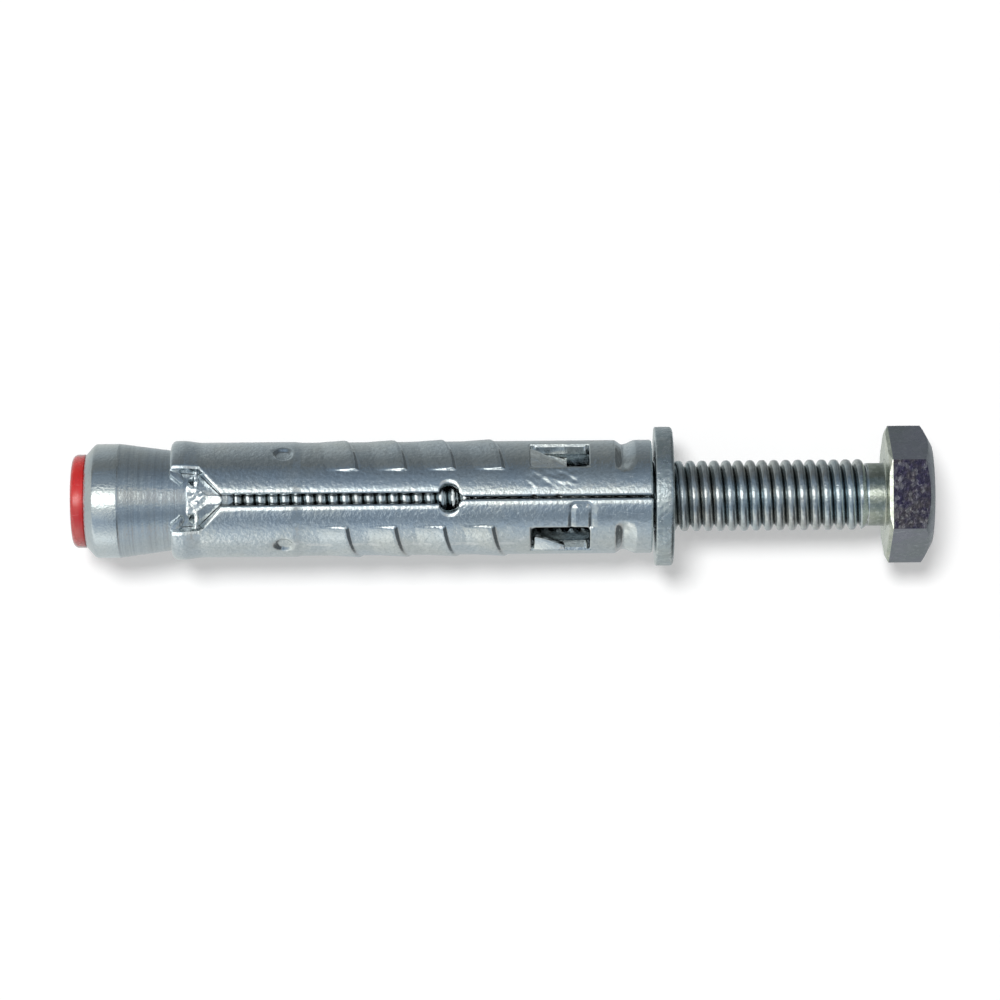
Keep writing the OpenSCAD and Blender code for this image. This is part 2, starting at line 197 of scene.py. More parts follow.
# %% Bolt head
HEAD_H = 3.85
HALF_FLATS = 4.95
BLANK_R = 5.9
LEANING = math.radians(9)
DRAWN_IN = 0.3
head = bmesh.new()
outer_chamfer = [(0, 0), (4.0, 0.0), (4.2, 0.03), (BLANK_R, 0.98)]
bearing_chamfer = [(BLANK_R, 3.5), (5.2, 3.83), (5.1, HEAD_H), (0, HEAD_H)]
turned(head, outer_chamfer + bearing_chamfer, 144)
for k in range(6):
    side = math.radians(30 + 60 * k)
    outwards = Vector((math.cos(side), math.sin(side), 0))
    for z, lean in ((0, 0), (HEAD_H - DRAWN_IN, LEANING)):
        facing = outwards * math.cos(lean) + Vector((0, 0, math.sin(lean)))
        cut_off(head, outwards * HALF_FLATS + Vector((0, 0, z)), facing)
soften(head, 0.1, 25, 3)
print("head of", len(head.faces), "faces")

# %% [markdown]
# ## The bolt's thread
# A rolled thread is one groove that climbs one pitch, here 1.0 mm, with each turn. Rolling
# leaves wide rounded crests and a narrow root. The section of one pitch is spun through one
# turn with a small rise at every step, that turn is repeated up the bolt, and the turns are
# merged where they meet. A Screw modifier would wind it too, but this mesh can be worked on
# at once: two planes trim it to its length, and the crests are drawn in at both ends, where
# the real thread runs out.

# %% Thread
PITCH = 1.0
CREST_R = 2.95
ROOT_R = 2.4
NECK_R = 2.62
TIP_R = 2.5
FIRST_CREST = 4.1
THREAD_START = 5.35
BOLT_TIP = 63.85
STEPS = 60
TURNS = 61
thread = bmesh.new()
half_crest = [(CREST_R, 0), (2.935, 0.15), (2.87, 0.26), (2.72, 0.35), (2.5, 0.44), (ROOT_R, 0.5)]
section = [(r, FIRST_CREST - z) for r, z in reversed(half_crest)]
section += [(r, FIRST_CREST + z) for r, z in half_crest[1:]]
bmesh.ops.spin(thread, geom=chain(thread, section), cent=(0, 0, 0), axis=(0, 0, 1),
               dvec=(0, 0, PITCH / STEPS), angle=math.tau, steps=STEPS, use_merge=False)
one_turn = everything(thread)
for k in range(1, TURNS):
    again = only_verts(bmesh.ops.duplicate(thread, geom=one_turn)["geom"])
    bmesh.ops.translate(thread, vec=(0, 0, PITCH * k), verts=again)
bmesh.ops.remove_doubles(thread, verts=thread.verts, dist=1e-3)
cut_off(thread, (0, 0, THREAD_START), (0, 0, -1))
cut_off(thread, (0, 0, BOLT_TIP), (0, 0, 1))
for v in thread.verts:
    r = math.hypot(v.co.x, v.co.y)
    run_out = NECK_R + max(0, v.co.z - THREAD_START - 0.1) * 0.8
    most = min(run_out, TIP_R + BOLT_TIP - v.co.z)
    if r > most:
        v.co.x *= most / r
        v.co.y *= most / r
print("thread of", TURNS, "turns,", len(thread.faces), "faces")

# %% [markdown]
# ## The neck, and one bolt
# Under the head the wire keeps the diameter that it has before rolling, with a small fillet
# at the head. The three shapes are pressed from one wire, so they become one object that
# stands for the bolt's solid.

# %% Bolt
neck = bmesh.new()
fillet = arc(2.92, 4.15, 0.3, 270, 180, 5)
turned(neck, [(0, 3.7), (2.95, 3.7), (2.95, HEAD_H)] + fillet + [(NECK_R, 5.3), (2.5, 5.5), (0, 5.5)], 96)
bolt_mesh = bmesh.new()
for part in (head, thread, neck):
    bmesh.ops.recalc_face_normals(part, faces=part.faces)
    scratch = bpy.data.meshes.new("scratch")
    part.to_mesh(scratch)
    part.free()
    bolt_mesh.from_mesh(scratch)
    bpy.data.meshes.remove(scratch)
bolt = piece("bolt", bolt_mesh, "bolt", flat_above=1.2)
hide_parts("hex_bolt")

# %% [markdown]
# ## The washer
# The washer is punched from strip: the side where the punch enters has a rounded edge, the
# other a crisp one, and the rim tapers a hair between them. One bevel would round both
# edges alike, so the section carries all three, and is spun.

# %% Washer
WASHER_Z = 21.6
WASHER_R = 5.8
WASHER_HOLE_R = 3.2
WASHER_T = 1.5
ROUNDED = 0.32
CRISP = 0.12
HOLE_EDGE = 0.1
washer_mesh = bmesh.new()
rim = arc(WASHER_R - ROUNDED, WASHER_Z + ROUNDED, ROUNDED, -90, 0, 6)
rim += [(WASHER_R, WASHER_Z + 0.9), (WASHER_R - 0.015, WASHER_Z + 1.2)]
rim += arc(WASHER_R - CRISP, WASHER_Z + WASHER_T - CRISP, CRISP, 0, 90, 4)
hole = [(WASHER_HOLE_R + HOLE_EDGE, WASHER_Z + WASHER_T), (WASHER_HOLE_R, WASHER_Z + WASHER_T - HOLE_EDGE),
        (WASHER_HOLE_R, WASHER_Z + HOLE_EDGE), (WASHER_HOLE_R + HOLE_EDGE, WASHER_Z)]
turned(washer_mesh, hole[-1:] + rim + hole, 160)
washer = piece("washer", washer_mesh, "washer")
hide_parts("flat_washer")

# %% [markdown]
# ## The sleeve, first as a flat sheet
# The sleeve is stamped from one sheet and then rolled, and its mesh is made the same way.
# A flat grid holds the sheet. Its columns run along the anchor and its rows across, closer
# together where the press shaped something: at the seam's lips, the teeth, the windows, the
# bead. Four rows close together make the steep edge of a tooth, and the rows lean with the
# teeth, so that no edge has steps.

# %% Rows and columns of the sheet
SLEEVE_Z = 23.35
MOUTH_Z = 63.35
WALL_R = 4.73
PLAIN_R = 4.80
MOUTH_R = 4.97
BORE_R = 3.88
TOOTH_PITCH = 4.03
TOOTH_L = 2.4
TOOTH_H = 0.15
TOOTH_EDGES = [36.8 + i * TOOTH_PITCH for i in range(4)]
LEFT_OFFSET = -1.15
SEAM_OFFSET = -0.58
LEAN = math.tan(math.radians(14))
WINDOW_AT = 50.0
WINDOW_W = 2.9
WINDOW_L = 4.9
WINDOW_Z = 31.0
WINDOW_ROUND = 0.4
HALF_WINDOW = math.degrees(math.asin(WINDOW_W / 2 / WALL_R))
HOLE_Z = 40.2
HOLE_R = 0.85
HALF_SLOT = 0.485
SLOT_TOP = 59.05
FUNNEL_TOP = 60.9
HALF_MOUTH_CUT = 2.6
DIMPLE_Z = 53.95
DIMPLE_AT = 53
BEAD_Z = 25.8
BEAD_DEPTH = 0.36
ARCH_Z = 29.28


def spread(start, end, step):
    """Evenly spaced values from start up to, but not including, end."""
    count = max(1, round((end - start) / step))
    return [start + (end - start) * i / count for i in range(count)]


win_low, win_high = WINDOW_Z - WINDOW_L / 2, WINDOW_Z + WINDOW_L / 2
rows = [SLEEVE_Z, SLEEVE_Z + 0.05] + spread(SLEEVE_Z + 0.15, 24.3, 0.25) + spread(24.3, 26.9, 0.11)
rows += spread(26.9, 28.2, 0.2) + [28.3, 28.34, 28.4, 28.48] + [win_low - 0.03]
rows += spread(win_low, win_low + 0.52, 0.1) + spread(win_low + 0.52, 30.0, 0.16)
rows += [30.02, 30.1, 30.16, 30.22, 30.28] + spread(30.4, win_high - 0.5, 0.22)
rows += spread(win_high - 0.5, win_high, 0.1) + [win_high, win_high + 0.03, win_high + 0.1]
teeth_low, teeth_high = TOOTH_EDGES[0] - 0.3, TOOTH_EDGES[-1] + TOOTH_L + 0.3
rows += spread(win_high + 0.25, teeth_low, 0.25)
tooth_rows = []
for edge in TOOTH_EDGES:
    far = edge + TOOTH_L
    tooth_rows += [edge - 0.26, edge - 0.17, edge - 0.08, edge + 0.02]
    tooth_rows += spread(edge + 0.12, far, 0.25) + [far, far + 0.08]
    tooth_rows += spread(far + 0.25, edge + TOOTH_PITCH - 0.25, 0.25)
hole_rows = [HOLE_Z - SEAM_OFFSET + HOLE_R * math.sin(math.radians(a)) for a in range(-90, 91, 9)]
tooth_rows = [z for z in tooth_rows if min(abs(z - h) for h in hole_rows) > 0.03 or
              min(abs(z - e) for e in TOOTH_EDGES) < 0.27]
rows += sorted(tooth_rows + hole_rows)
rows += spread(rows[-1] + 0.2, 53.0, 0.2) + spread(53.0, 54.9, 0.1) + spread(54.9, SLOT_TOP, 0.25)
rows += spread(SLOT_TOP, FUNNEL_TOP, 0.1) + spread(FUNNEL_TOP, MOUTH_Z - 0.5, 0.16)
rows += [MOUTH_Z - 0.5 + 0.5 * math.sin(math.radians(a)) for a in range(0, 91, 15)]
rows = sorted(set(round(z, 4) for z in rows))

win_from, win_to = WINDOW_AT - HALF_WINDOW, WINDOW_AT + HALF_WINDOW
columns = [0, 0.4, 0.9, 1.5, 2.3, 3.2, 4.4, 5.8, 7.4] + spread(9, 28.2, 1.6)
columns += [28.2, 28.9, 29.6, 30.3, 31.0, 31.7, win_from - 0.4]
columns += spread(win_from, win_from + 5.2, 1.2) + spread(win_from + 5.2, win_to - 5.2, 1.25)
columns += spread(win_to - 5.2, win_to, 1.2) + [win_to, win_to + 0.7, win_to + 1.45, win_to + 2]
columns += spread(win_to + 4, 147.6, 3.6) + spread(147.6, 152, 0.8) + spread(152, 180, 3.6)
columns = sorted(set(round(c, 4) for c in columns))
angles = columns + [180.0] + [360 - c for c in reversed(columns)]
print("sheet of", len(rows), "rows and", len(angles), "columns")

# %% [markdown]
# ## The sheet's outline, and what the press does to its surface
# Both long edges of the sheet meet at the seam. Their outline holds the narrow seam, half of
# the round hole, half of the slot and half of the mouth's cut-out, so no knife is needed:
# the edge columns simply follow it. A second function gives the outer radius at any place,
# with the teeth, the bead, the dimples, the arch and the rounded lips.

# %% Outline and relief
def half_gap(z):
    """Half of the opening at the seam, in mm, at a height."""
    from_hole = abs(z - HOLE_Z)
    straight = 0.15 if z < HOLE_Z else HALF_SLOT
    if from_hole <= HOLE_R + 0.0001:
        return max(straight, 0.4 + math.sqrt(max(0.0, HOLE_R ** 2 - from_hole ** 2)))
    if z < SLOT_TOP:
        return straight
    if z < FUNNEL_TOP:
        return HALF_SLOT + (HALF_MOUTH_CUT - HALF_SLOT) * (z - SLOT_TOP) / (FUNNEL_TOP - SLOT_TOP)
    return HALF_MOUTH_CUT


def lean_at(a):
    """How far the rows are moved along the anchor at an angle (-180 to 180)."""
    lift = -WALL_R * LEAN * math.cos(math.radians(min(150.0, max(30.0, abs(a)))))
    teeth = lift if a > 0 else LEFT_OFFSET - lift
    on_teeth = smooth((abs(a) - 16) / 13) * (1 - smooth((abs(a) - 150) / 30))
    return SEAM_OFFSET + (teeth - SEAM_OFFSET) * on_teeth


def row_height(z, a):
    """Where a row lies at an angle: level at the windows and the mouth, leaning at the teeth."""
    foot = 33.6 - 5.5 * smooth((abs(a) - 80) / 40)
    low = smooth((z - foot) / (35.6 - foot)) if z < 35.6 else 1
    high = 1 if z < 52 else 1 - smooth((z - 52) / 6)
    return z + lean_at(a) * low * high


def dent(distance, width, depth):
    """A round-bottomed groove or dimple with soft shoulders."""
    t = distance / (width / 2)
    return -depth * (1 - t * t) if t < 0.8 else -depth * 0.36 * (1 - smooth((t - 0.8) / 0.55))


def tooth_relief(row_z, a):
    """Height of the teeth over the wall, seen from the row's own level place."""
    ragged = 0.5 * noise.noise(Vector((row_z * 2.2, a, 1.0)))
    side = smooth((abs(a) - 28.6 + ragged) / 2.5) * smooth((151.4 - abs(a)) / 2.5)
    for edge in TOOTH_EDGES:
        if edge - 0.27 < row_z < edge + TOOTH_L:
            ramp = min(1.0, (edge + TOOTH_L - row_z) / (TOOTH_L - 0.1))
            return side * TOOTH_H * ramp * smooth((row_z - edge + 0.26) / 0.34)
    return 0


def bead(z, a):
    """The groove pressed round the sleeve near its lower end: steep above, gentle below."""
    ends = smooth((abs(a) - 24) / 16)
    slope = (z - BEAD_Z) / 0.72 if z > BEAD_Z else (BEAD_Z - z) / 1.15
    return -BEAD_DEPTH * ends * (1 - smooth(slope))


def crumple(z, a):
    """Folds beside the right window, where the leaf's corner was pulled in."""
    here = smooth((z - 29.3) / 0.6) * smooth((34.0 - z) / 0.8) * smooth((a - 7) / 6) * smooth((34 - a) / 5)
    along = z * 0.75 + a * 0.085
    across = a * 0.06 - z * 0.5
    return 0.07 * here * noise.noise(Vector((along, across * 3.2, 2.0)))


def arch_distance(z, a):
    """Distance from the outline of the arch pressed beside the left window."""
    beside = abs(z - ARCH_Z) - 0.44
    beyond_top = 1.0 - WALL_R * math.radians(-a)
    inside = min(max(beside, beyond_top), 0)
    return abs(math.hypot(max(beside, 0), max(beyond_top, 0)) + inside - 0.4)


def outer_radius(row_z, z, a):
    """Outer radius of the sleeve at a height and an angle."""
    r = WALL_R + (PLAIN_R - WALL_R) * smooth((z - 52.4) / 0.8)
    if z > 60.8:
        r += (MOUTH_R - PLAIN_R) * smooth((z - 60.8) / 1.6)
    corner = z - (MOUTH_Z - 0.45)
    if corner > 0:
        r -= 0.45 - math.sqrt(max(0.0, 0.45 ** 2 - corner ** 2))
    r += tooth_relief(row_z, a)
    r += bead(z, a) + crumple(z, a)
    x = WALL_R * math.radians(abs(a) - DIMPLE_AT)
    from_dimple = math.hypot(x, z - DIMPLE_Z)
    r -= 0.27 * (1 - smooth((from_dimple - 0.48) / 0.42))
    if -33 < a < -4 and arch_distance(z, a) < 0.25:
        r += dent(arch_distance(z, a), 0.38, 0.11)
    return r - max(0.0, SLEEVE_Z + 0.12 - z)


print("outline", [round(half_gap(z), 2) for z in (30, 40.2, 50, 60, 62)])

# %% [markdown]
# ## Rolling the sheet
# The grid's vertices are moved to their angle, height and radius, which rolls the sheet.
# The faces in the two windows are taken out and their corners rounded, and one extrusion of
# the whole sheet inwards gives it its thickness with closed edges all round.

# %% Place on the tube
def seam_edge(z):
    """The angle of the seam's edge at a height, in degrees."""
    return math.degrees(math.asin(min(1.0, half_gap(z) / WALL_R)))


def rolled(nominal_a, row_z):
    """Angle and height of a sheet vertex once the sheet is rolled, with two nicks in one lip."""
    side = 1 if nominal_a > 0 else -1
    a = abs(nominal_a)
    z = row_height(row_z, nominal_a)
    edge = seam_edge(z)
    pivot = 29.0 + 61 * smooth((z - 57) / 1.6)
    if side > 0:
        edge += sum(1.9 * max(0.0, 1 - abs(z - nick) / 0.22) for nick in (31.15, 33.2))
    if a < pivot:
        a = edge + a * (pivot - edge) / pivot
    x = WALL_R * math.sin(math.radians(a - WINDOW_AT))
    y = z - WINDOW_Z
    px, py = abs(x) - (WINDOW_W / 2 - WINDOW_ROUND), abs(y) - (WINDOW_L / 2 - WINDOW_ROUND)
    on_edge = abs(abs(x) - WINDOW_W / 2) < 0.01 or abs(abs(y) - WINDOW_L / 2) < 0.01
    if on_edge and 0 < px < WINDOW_ROUND + 0.01 and 0 < py < WINDOW_ROUND + 0.01:
        t = math.pi / 4 * (py / WINDOW_ROUND if px >= py else 2 - px / WINDOW_ROUND)
        x = math.copysign(WINDOW_W / 2 - WINDOW_ROUND + WINDOW_ROUND * math.cos(t), x)
        y = math.copysign(WINDOW_L / 2 - WINDOW_ROUND + WINDOW_ROUND * math.sin(t), y)
        a = WINDOW_AT + math.degrees(math.asin(x / WALL_R))
        z = WINDOW_Z + y
    return side * a, z


def edge_rounding(z, a):
    """How far the outer corner falls off: turned-down lips at the seam, broken edges at the windows."""
    from_seam = max(0.0, WALL_R * math.radians(abs(a)) - half_gap(z))
    turned_down = math.radians(max(0.0, seam_edge(z) - 3 if a > 0 else seam_edge(z) + 7))
    reach = 0.42 - 0.05 * smooth((half_gap(z) - 0.5) / 0.6)
    drop = math.tan(turned_down) * max(0.0, reach - from_seam)
    if from_seam < 0.14:
        drop += 0.1 * (1 - math.sqrt(max(0.0, 1 - (1 - from_seam / 0.14) ** 2)))
    x = WALL_R * math.sin(math.radians(abs(a) - WINDOW_AT))
    y = abs(z - WINDOW_Z) - WINDOW_L / 2
    if y < 0.05 and -WINDOW_W / 2 - 0.1 < x < WINDOW_W / 2:
        drop += 0.05 * (1 - max(-x - WINDOW_W / 2, y, 0.0) / 0.1) ** 2
    if y < 0.05 and 0 <= x - WINDOW_W / 2 + 0.01 < 0.13:
        drop += 1.9 * (0.12 - min(0.12, x - WINDOW_W / 2))
    return drop


def closed_inside(z, a):
    """The seam closes towards the inside, because rolling presses the inner edges together."""
    pulled = smooth((39.1 - z) / 0.9) * max(0.0, 1 - (abs(a) - 1.8) / 6)
    return a - math.copysign(1.55 * min(1.0, pulled), a)


def inner_radius(z, a):
    """Inner radius of the sleeve, where the bead shows too and the mouth opens over the cone."""
    r = BORE_R + max(0.0, z - 60.82) * 0.136
    return r + 0.9 * bead(z, a)


print("edge of the slot at", round(seam_edge(50), 1), "degrees from the seam")

# %% Sleeve
sheet = bmesh.new()
bmesh.ops.create_grid(sheet, x_segments=len(angles) - 1, y_segments=len(rows) - 1, size=1)
number = sheet.verts.layers.int.new("number")
nominal = []
for v in sheet.verts:
    i = round((v.co.x + 1) / 2 * (len(angles) - 1))
    j = round((v.co.y + 1) / 2 * (len(rows) - 1))
    v[number] = len(nominal)
    nominal.append((max(angles[i], 1e-6) if i < len(angles) / 2 else min(angles[i] - 360, -1e-6), rows[j]))
in_window = []
for f in sheet.faces:
    a = sum(nominal[v[number]][0] for v in f.verts) / 4
    z = sum(nominal[v[number]][1] for v in f.verts) / 4
    if win_low < z < win_high and win_from < abs(a) < win_to:
        in_window.append(f)
bmesh.ops.delete(sheet, geom=in_window, context="FACES")
for v in sheet.verts:
    a, z = rolled(*nominal[v[number]])
    v.co = on_tube(a, outer_radius(nominal[v[number]][1], z, a) - edge_rounding(z, a), z)
made = bmesh.ops.extrude_face_region(sheet, geom=sheet.faces[:], use_keep_orig=True)
for v in only_verts(made["geom"]):
    a, z = rolled(*nominal[v[number]])
    v.co = on_tube(closed_inside(z, a), inner_radius(z, a), z)
sheet.verts.layers.int.remove(number)
sleeve = piece("sleeve", sheet, "anchor", smooth_below=28)
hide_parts("expansion_sleeve")

# %% [markdown]
# ## Leaves and claws
# In each window the press cut a leaf free and bent it in towards the thread. At the mouth
# two claws are bent in against the cone, so that the nut can't fall out. The left leaf and
# the claws are flat pieces of the same sheet, so each starts as one face, gets its thickness
# from an extrusion, and has its edges broken. The right leaf is folded along its diagonal,
# so it is a small grid, pressed down beyond the fold.

# %% Leaves
def plate(bm, outline, low, high, angle):
    """A flat plate through the wall: the outline is (sideways, height), seen from outside."""
    turned_by = Matrix.Rotation(math.radians(angle), 3, "Z")
    verts = [bm.verts.new(turned_by @ Vector((x, -low, z))) for x, z in outline]
    bottom = bm.faces.new(verts)
    lifted = bmesh.ops.extrude_face_region(bm, geom=[bottom], use_keep_orig=True)
    top = only_verts(lifted["geom"])
    bmesh.ops.translate(bm, vec=turned_by @ Vector((0, low - high, 0)), verts=top)


LEAF_R = 3.375
MIDDLE_R = (WALL_R + BORE_R) / 2
LEAF_BEND = math.degrees(math.acos(LEAF_R / MIDDLE_R))
HINGE_X = -MIDDLE_R * math.sin(math.radians(LEAF_BEND))
left_leaf = bmesh.new()
leaf_outline = [(-0.2, 33.2), (0.95, 33.2), (1.05, 33.05), (0.75, 32.0), (0.2, 30.7), (-0.2, 30.6)]
plate(left_leaf, [(HINGE_X + x, z) for x, z in leaf_outline], LEAF_R - 0.15, LEAF_R + 0.45,
      -WINDOW_AT - HALF_WINDOW + LEAF_BEND)
soften(left_leaf, 0.12, 30, 3)
piece("leaf_left", left_leaf, "anchor")

right_leaf = bmesh.new()
bmesh.ops.create_grid(right_leaf, x_segments=22, y_segments=16, size=0.5)
for v in right_leaf.verts:
    along, over = v.co.x + 0.5, v.co.y + 0.5
    z = 33.5 - 3.05 * along
    a = WINDOW_AT - HALF_WINDOW - 1.5 + (2 * HALF_WINDOW + 1) * over
    past_fold = over - 0.95 + 0.85 * along
    pleat = 0.1 * noise.noise(Vector(((over - along) * 1.6, (over + along) * 6, 3)))
    sunk = 0.16 + 0.62 * smooth(past_fold / 0.3) + 0.3 * along * over + pleat
    v.co = on_tube(a, 4.7 - sunk, z)
lifted = bmesh.ops.extrude_face_region(right_leaf, geom=right_leaf.faces[:], use_keep_orig=True)
bmesh.ops.scale(right_leaf, vec=(0.92, 0.92, 1), verts=only_verts(lifted["geom"]))
piece("leaf_right", right_leaf, "anchor", smooth_below=40)

# %% Claws
NUT_Z = 58.1
CONE_TIP_R = 3.46
CONE_SLOPE = math.tan(math.radians(7.75))


def cone_radius(z):
    """Radius of the nut's cone at a height."""
    return CONE_TIP_R + (z - NUT_Z) * CONE_SLOPE


claw_outline = [(2.78, MOUTH_Z), (2.2, MOUTH_Z - 0.03), (1.36, 62.38), (1.42, 62.14), (1.8, 62.1),
                (2.78, 62.78)]
for name, side in (("claw_right", 1), ("claw_left", -1)):
    claw = bmesh.new()
    plate(claw, [(side * x, z) for x, z in claw_outline], 3.2, 4.28, 0)
    for v in claw.verts:
        over_cone = 0.08 if v.co.y > -4 else 0.44
        v.co.y = -math.sqrt((cone_radius(v.co.z) + over_cone) ** 2 - v.co.x ** 2)
    bmesh.ops.recalc_face_normals(claw, faces=claw.faces)
    soften(claw, 0.1, 30, 3)
    piece(name, claw, "anchor")

# %% [markdown]
# ## The cone nut
# The nut is turned from bar on an automatic lathe. The tool leaves fine rings on the cone,
# while the band at the thick end is burnished smooth. The rings here are real: the section
# is a chain of many points whose radius changes by a few micrometres at random, from a
# fixed seed. Two pits beside the lug's place are where the punch took its steel from.

# %% Nut
NUT_TOP = 70.5
NUT_BORE_R = 3.0
BAND_R = 4.766
BAND_Z = 67.65
PIT_X = 1.55
PIT_Z = 61.35
PIT_R = 0.42
PIT_DEPTH = 0.5
random.seed(7)
rings = []
z = NUT_Z + 0.35
while z < BAND_Z - 0.05:
    rings.append((cone_radius(z) + random.uniform(-0.012, 0.004), z))
    z += random.uniform(0.08, 0.22)
nut_mesh = bmesh.new()
bore = [(NUT_BORE_R, NUT_TOP), (NUT_BORE_R, NUT_Z)]
band = [(4.748, 67.68), (4.765, 67.7), (BAND_R, 67.74), (BAND_R, 67.8), (BAND_R, 69.5)]
thick_end = [(4.74, 69.66), (4.66, 69.8), (3.95, 70.42), (3.87, NUT_TOP)]
turned(nut_mesh, bore[1:] + [(3.12, NUT_Z)] + rings + band + thick_end + bore, 160)
for v in nut_mesh.verts:
    out = math.hypot(v.co.x, v.co.y)
    away = math.hypot((abs(v.co.x) - PIT_X) / 0.75, v.co.z - PIT_Z) / PIT_R
    if v.co.y < -3.2 and out > 3.3 and away < 1:
        pull = 1 - PIT_DEPTH / out * (1 - smooth((away - 0.5) * 2))
        v.co.x *= pull
        v.co.y *= pull
nut = piece("cone_nut_turned", nut_mesh, "anchor", smooth_below=40)
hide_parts("cone_nut")

# %% [markdown]
# ## The locking lug
# A punch raises a key out of the cone, and the key sits in the sleeve's slot, so that the
# nut can't turn with the bolt. It is narrow in the slot, fans out in the mouth's cut-out,
# and its skin is crumpled where the steel was pushed up, with a thin web left at each side.
# A plate with that outline is cut into small faces and crumpled with a fixed noise.

# %% Lug
lug = bmesh.new()
HALF_KEY = 0.43
key = [(0.3, 58.98), (HALF_KEY, 59.3), (HALF_KEY, 60.2), (0.75, 60.6)]
web = [(0.95, 60.95), (2.3, 60.98), (2.42, 61.1), (2.3, 61.2), (1.1, 61.3)]
half = key + web + [(1.3, 61.62), (1.28, 61.9), (1.0, 61.95)]
fan = [(0, 58.9)] + half + [(0, 61.8)] + [(-x, z) for x, z in reversed(half)]
plate(lug, fan, 3.3, 4.62, 0)
for v in lug.verts:
    if v.co.y > -3.6:
        v.co.y = -math.sqrt((cone_radius(v.co.z) - 0.15) ** 2 - v.co.x ** 2)
    else:
        v.co.y += 0.14 * smooth((abs(v.co.x) - 0.5) / 1.5)
bmesh.ops.recalc_face_normals(lug, faces=lug.faces)
soften(lug, 0.1, 40, 2)
bmesh.ops.triangulate(lug, faces=lug.faces[:])
for longest in (0.4, 0.22, 0.13):
    bmesh.ops.subdivide_edges(lug, edges=[e for e in lug.edges if e.calc_length() > longest], cuts=1)
    bmesh.ops.triangulate(lug, faces=lug.faces[:])
for v in lug.verts:
    if v.co.y < -4.0:
        folds = noise.noise(Vector((v.co.x * 1.9, v.co.z * 1.9, 4.0)))
        creases = noise.noise(Vector((v.co.x * 6, v.co.z * 6, 9.0)))
        v.co.y += 0.03 + 0.16 * (folds + 0.35 * creases) * smooth((v.co.z - 60.0) / 0.8)
piece("locking_lug", lug, "anchor", smooth_below=40)

# %% [markdown]
# ## The dust cap
# The red cap is moulded in soft plastic, with a rounded rim and a hollow plug in the nut's
# bore. It is spun from its section. The photograph shows a rim with a slight crown.

# %% Cap
CAP_R = 3.9
PLUG_R = 2.96
RIM_ROUNDING = 0.5
cap_mesh = bmesh.new()
hollow = [(0, 70.52), (2.32, 70.52), (2.32, 68.32), (2.77, 68.32)]
plug = [(PLUG_R, 68.7), (PLUG_R, NUT_TOP + 0.01), (3.8, NUT_TOP + 0.01)]
rim = arc(3.78, 70.63, 0.12, -80, 0, 4) + [(CAP_R, 70.95)]
rim += arc(CAP_R - RIM_ROUNDING, 71.13, RIM_ROUNDING, 8, 90, 8)
crown = [(2.4, 71.64), (1.2, 71.6), (0, 71.6)]
turned(cap_mesh, hollow + plug + rim + crown, 128)
cap = piece("dust_cap", cap_mesh, "anchor", smooth_below=45)
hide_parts("end_cap")

# %% [markdown]
# ## Shared effects for the finishes
# Zinc plating is a skin of tiny crystals: from near it sparkles, and a thin film of
# passivation tints it blue here and greenish there. Each effect is one node group, so that
# every steel piece uses the same effect with its own values.

# %% Node helpers
def node_group(name, inputs, outputs):
    """An empty node group with named sockets, and its two ends."""
    group = bpy.data.node_groups.new(name, "ShaderNodeTree")
    kinds = {"value": "NodeSocketFloat", "colour": "NodeSocketColor"}
    for label, kind, start in inputs:
        made = group.interface.new_socket(name=label, in_out="INPUT", socket_type=kinds[kind])
        made.default_value = start
    for label, kind in outputs:
        group.interface.new_socket(name=label, in_out="OUTPUT", socket_type=kinds[kind])
    return group, group.nodes.new("NodeGroupInput").outputs, group.nodes.new("NodeGroupOutput").inputs


def feed(tree, socket, value):
    """Gives a socket a value, or a link from another node's socket."""
    if isinstance(value, bpy.types.NodeSocket):
        tree.links.new(value, socket)
    else:
        socket.default_value = value


def put(tree, kind, settings=None, **sockets):
    """A node with its settings and its inputs, named, or numbered as in i0, i1."""
    node = tree.nodes.new(kind)
    for key, value in (settings or {}).items():
        setattr(node, key, value)
    for key, value in sockets.items():
        by_number = key[0] == "i" and key[1:].isdigit()
        feed(tree, node.inputs[int(key[1:]) if by_number else key.replace("_", " ")], value)
    return node


def reckon(tree, what, a, b=0.0, c=0.0):
    """One step of arithmetic."""
    return put(tree, "ShaderNodeMath", {"operation": what}, i0=a, i1=b, i2=c).outputs[0]


def fade(tree, value, low, high, start=0.0, end=1.0):
    """A smooth ramp of a value between two limits."""
    return put(tree, "ShaderNodeMapRange", {"interpolation_type": "SMOOTHSTEP"}, Value=value,
               From_Min=low, From_Max=high, To_Min=start, To_Max=end).outputs["Result"]


def times(tree, a, b):
    """Two values multiplied."""
    return reckon(tree, "MULTIPLY", a, b)


def noisy(tree, point, scale, **more):
    """A noise over the surface, from 0 to 1."""
    return put(tree, "ShaderNodeTexNoise", Vector=point, Scale=scale, **more).outputs["Fac"]


def mixed(tree, amount, a, b, blend="MIX"):
    """Two colours mixed."""
    node = put(tree, "ShaderNodeMix", {"data_type": "RGBA", "blend_type": blend})
    for index, value in ((0, amount), (6, a), (7, b)):
        feed(tree, node.inputs[index], value)
    return node.outputs[2]


def place_of(tree, stretch=(1, 1, 1)):
    """The point on the piece, in its own coordinates, stretched along an axis."""
    point = put(tree, "ShaderNodeTexCoord").outputs["Object"]
    return put(tree, "ShaderNodeMapping", Vector=point, Scale=stretch).outputs[0]


# %% [markdown]
# ### Plated steel
# Large soft patches shift the tint, middle-sized ones dull the plating, and a fine cell
# pattern gives the crystal sparkle: every cell has its own roughness and a height of its
# own, so some of them catch the light.

